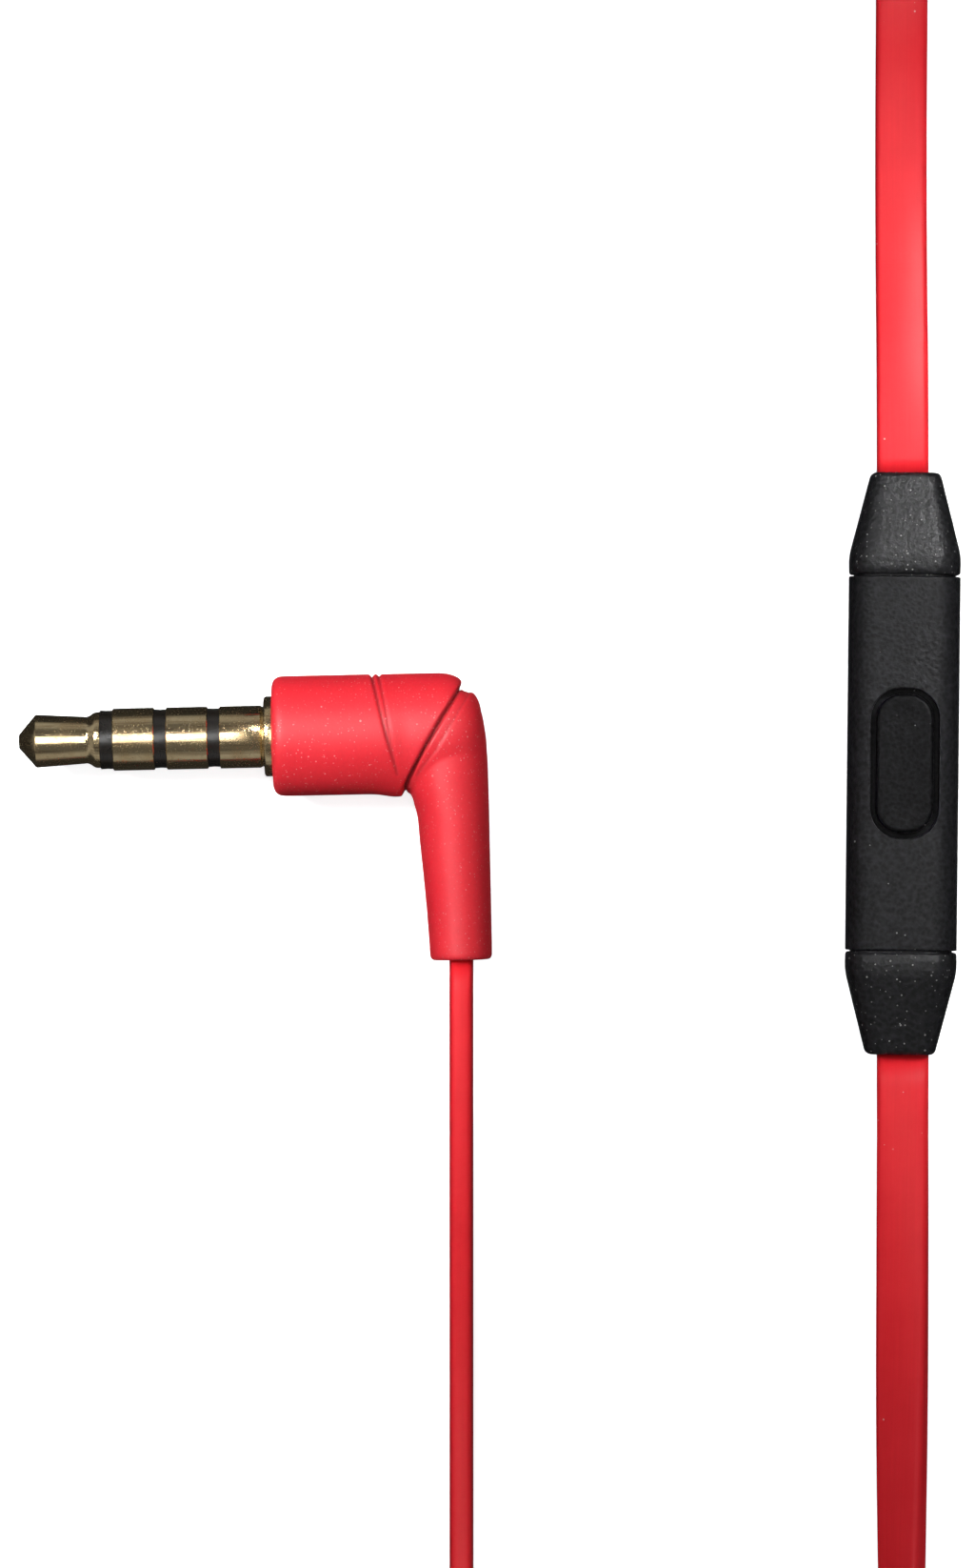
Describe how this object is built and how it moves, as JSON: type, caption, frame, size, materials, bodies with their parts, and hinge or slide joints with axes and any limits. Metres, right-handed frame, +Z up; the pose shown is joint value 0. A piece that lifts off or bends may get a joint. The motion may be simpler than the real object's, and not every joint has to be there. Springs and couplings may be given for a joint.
{
  "type": "wired earphones",
  "caption": "Wired in-ear earphones: flat cord, right-angle 3.5 mm plug, in-line remote with an oval button, Y-splitter and two earpieces with soft tips.",
  "frame": {"origin": "on the table, midway between the two earpieces, at the bottom centre of the pair", "axes": "+Z up from the table, +X across the pair of earpieces, the cords, remote and plug lie towards -Y"},
  "size_m": [0.0786, 0.2196, 0.018],
  "materials": {
    "gold": "polished gold plating",
    "tinned_brass": "tinned",
    "insulator": "smooth moulded",
    "mould": "as moulded",
    "red_rubber": "matt soft touch",
    "red_cord": "satin",
    "black_shell": "fine spark texture",
    "black_button": "fine spark texture",
    "black_rubber": "matt",
    "board": "solder resist",
    "switch": "moulded",
    "dome": "bright spring steel",
    "microphone": "plated can",
    "wire": "enamelled and insulated",
    "driver_plastic": "moulded",
    "magnet": "nickel plated",
    "copper": "enamelled wire",
    "diaphragm": "thin film",
    "mesh": "woven",
    "tip_silicone": "satin silicone"
  },
  "bodies": {
    "headset": {"cord_left_coil": "red_cord", "cord_left_lead": "red_cord", "cord_left_rise": "red_cord", "cord_main_coil": "red_cord", "cord_plug_run": "red_cord", "cord_remote_run": "red_cord", "cord_right_coil": "red_cord", "cord_right_lead": "red_cord", "cord_right_rise": "red_cord", "cord_upper": "red_cord", "jack_insulator": "insulator", "jack_ring_front": "gold", "jack_ring_rear": "gold", "jack_sleeve": "gold", "jack_tags": "tinned_brass", "jack_tip": "gold", "left_cable_boot": "red_rubber", "left_diaphragm": "diaphragm", "left_driver_frame": "driver_plastic", "left_driver_magnet": "magnet", "left_front_housing": "black_shell", "left_nozzle_mesh": "mesh", "left_rear_cover": "black_shell", "left_trim_ring": "gold", "left_voice_coil": "copper", "plug_boot": "red_rubber", "plug_inner_mould": "mould", "remote_back_shell": "black_shell", "remote_board": "board", "remote_front_shell": "black_shell", "remote_mic_gasket": "black_rubber", "remote_microphone": "microphone", "remote_relief_lower": "black_rubber", "remote_relief_upper": "black_rubber", "remote_snap_dome": "dome", "remote_switch": "switch", "remote_wires": "wire", "right_cable_boot": "red_rubber", "right_diaphragm": "diaphragm", "right_driver_frame": "driver_plastic", "right_driver_magnet": "magnet", "right_front_housing": "black_shell", "right_nozzle_mesh": "mesh", "right_rear_cover": "black_shell", "right_trim_ring": "gold", "right_voice_coil": "copper", "splitter_bottom": "black_shell", "splitter_joint": "tinned_brass", "splitter_top": "black_shell"},
    "button": {"remote_button": "black_button"},
    "right_tip": {"right_ear_tip": "tip_silicone"},
    "left_tip": {"left_ear_tip": "tip_silicone"}
  },
  "joints": [
    {"name": "button_press", "type": "slide", "parent": "headset", "child": "button", "axis": [0, 0, -1], "range_m": [0, 0.00025], "stiffness_N_per_m": 3000, "deforming": ["remote_snap_dome"]},
    {"name": "right_tip_pull", "type": "slide", "parent": "headset", "child": "right_tip", "axis": [0.309, 0, 0.9511], "range_m": [0, 0.009]},
    {"name": "left_tip_pull", "type": "slide", "parent": "headset", "child": "left_tip", "axis": [-0.309, 0, 0.9511], "range_m": [0, 0.009]}
  ]
}
